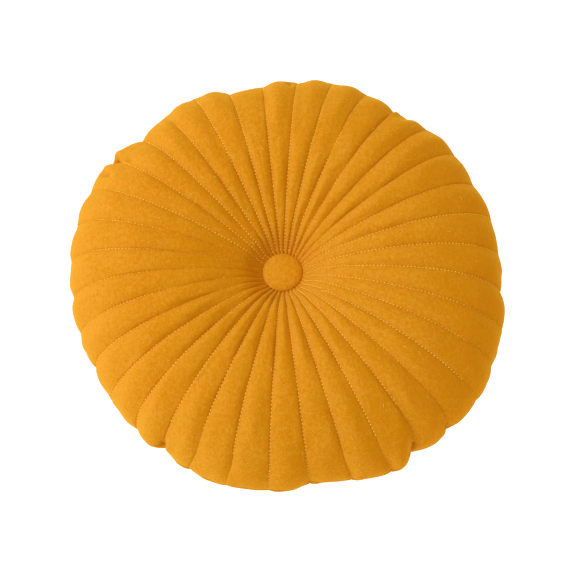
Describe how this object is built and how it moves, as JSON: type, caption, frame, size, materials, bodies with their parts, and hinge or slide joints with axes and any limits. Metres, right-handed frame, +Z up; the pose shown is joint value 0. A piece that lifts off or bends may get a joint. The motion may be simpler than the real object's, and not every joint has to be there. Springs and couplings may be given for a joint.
{
  "type": "round pumpkin cushion",
  "caption": "Round velvet pumpkin cushion, its channels running from a sunken covered button to the edge, lying on its back.",
  "frame": {"origin": "on the surface that the cushion rests on, under the middle of its outline", "axes": "+Z up out of the front face; -Y towards the side of the cushion that is nearest the viewer in the picture"},
  "size_m": [0.3938, 0.3936, 0.107],
  "materials": {
    "cover_velvet": "short-pile mustard velvet, soft sheen",
    "button_velvet": "the same velvet, stretched over a button"
  },
  "bodies": {
    "root": {"cushion": "cover_velvet", "button_front": "button_velvet", "button_back": "button_velvet"}
  },
  "joints": []
}
